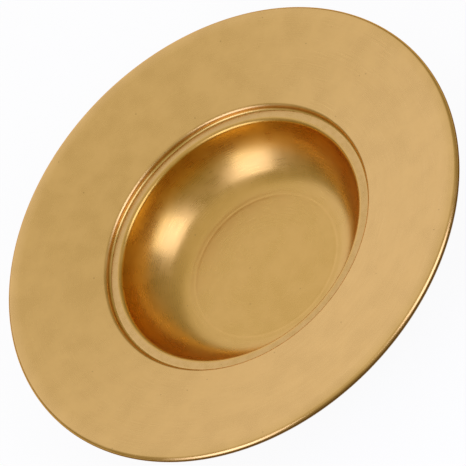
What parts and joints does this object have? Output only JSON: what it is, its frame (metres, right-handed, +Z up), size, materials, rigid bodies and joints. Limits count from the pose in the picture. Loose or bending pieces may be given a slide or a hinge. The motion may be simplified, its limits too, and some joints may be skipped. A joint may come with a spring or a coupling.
{
  "type": "offering plate",
  "caption": "Round brass offering plate with a wide shallow brim, a rolled edge, a stepped ring at the mouth and a deep round well.",
  "frame": {"origin": "centre of the underside of the base felt, on the surface the plate stands on", "axes": "+Z up along the plate's axis of revolution; +X and +Y are any two level directions, since the plate is round"},
  "size_m": [0.3048, 0.3048, 0.0527],
  "materials": {
    "brim_brass": "satin, brushed, lacquered",
    "wire_steel": "drawn, galvanised",
    "bowl_brass": "satin, brushed, lacquered",
    "gilt_solder": "satin, filed smooth and finished with the brass",
    "solder": "wiped soft solder",
    "felt": "matt pressed wool felt"
  },
  "bodies": {
    "root": {"brim": "brim_brass", "rim_wire": "wire_steel", "bowl": "bowl_brass", "step_solder": "gilt_solder", "seat_solder": "solder", "base_felt": "felt"}
  },
  "joints": []
}
